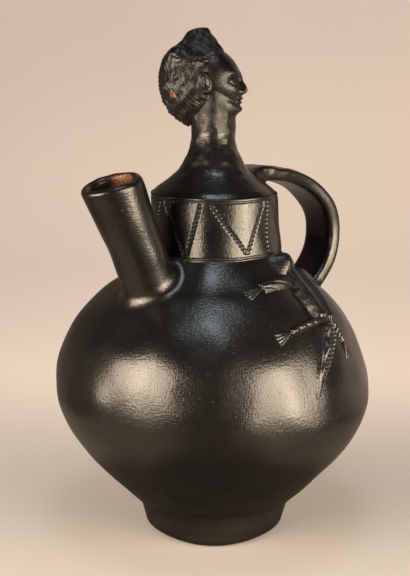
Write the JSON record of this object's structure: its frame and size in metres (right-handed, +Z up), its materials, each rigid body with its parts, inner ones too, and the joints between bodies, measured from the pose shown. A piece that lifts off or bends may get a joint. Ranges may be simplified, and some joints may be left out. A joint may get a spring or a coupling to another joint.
{
  "type": "jug",
  "caption": "Hand-built black burnished jug with a round belly, slanting spout, strap handle, incised collar, lizard relief and a modelled head as its closed top.",
  "frame": {"origin": "centre of the foot ring's resting face, on the jug's upright axis", "axes": "+Z up the jug, -X towards the handle, +X on the spout's side"},
  "size_m": [0.2212, 0.2212, 0.3528],
  "materials": {
    "burnished_clay": "smoke-blackened earthenware, burnished to a soft gloss",
    "foot_clay": "smoke-blackened earthenware, scraped and little burnished",
    "figure_clay": "smoke-blackened earthenware, modelled and rubbed by hand",
    "relief_clay": "smoke-blackened earthenware, applied and slashed with a blade"
  },
  "bodies": {
    "root": {"foot_ring": "foot_clay", "floor_slab": "foot_clay", "lower_belly": "burnished_clay", "upper_belly": "burnished_clay", "collar": "burnished_clay", "shoulders": "burnished_clay", "figure_neck": "burnished_clay", "spout": "burnished_clay", "spout_coil": "burnished_clay", "handle": "burnished_clay", "head": "figure_clay", "hair": "figure_clay", "crest": "figure_clay", "nose": "figure_clay", "upper_lip": "figure_clay", "lower_lip": "figure_clay", "eye_left": "figure_clay", "eye_right": "figure_clay", "ear_left": "figure_clay", "ear_right": "figure_clay", "lizard_head": "relief_clay", "lizard_trunk": "relief_clay", "lizard_tail": "relief_clay", "lizard_leg_front_left": "relief_clay", "lizard_leg_front_right": "relief_clay", "lizard_leg_rear_left": "relief_clay", "lizard_leg_rear_right": "relief_clay"}
  },
  "joints": []
}
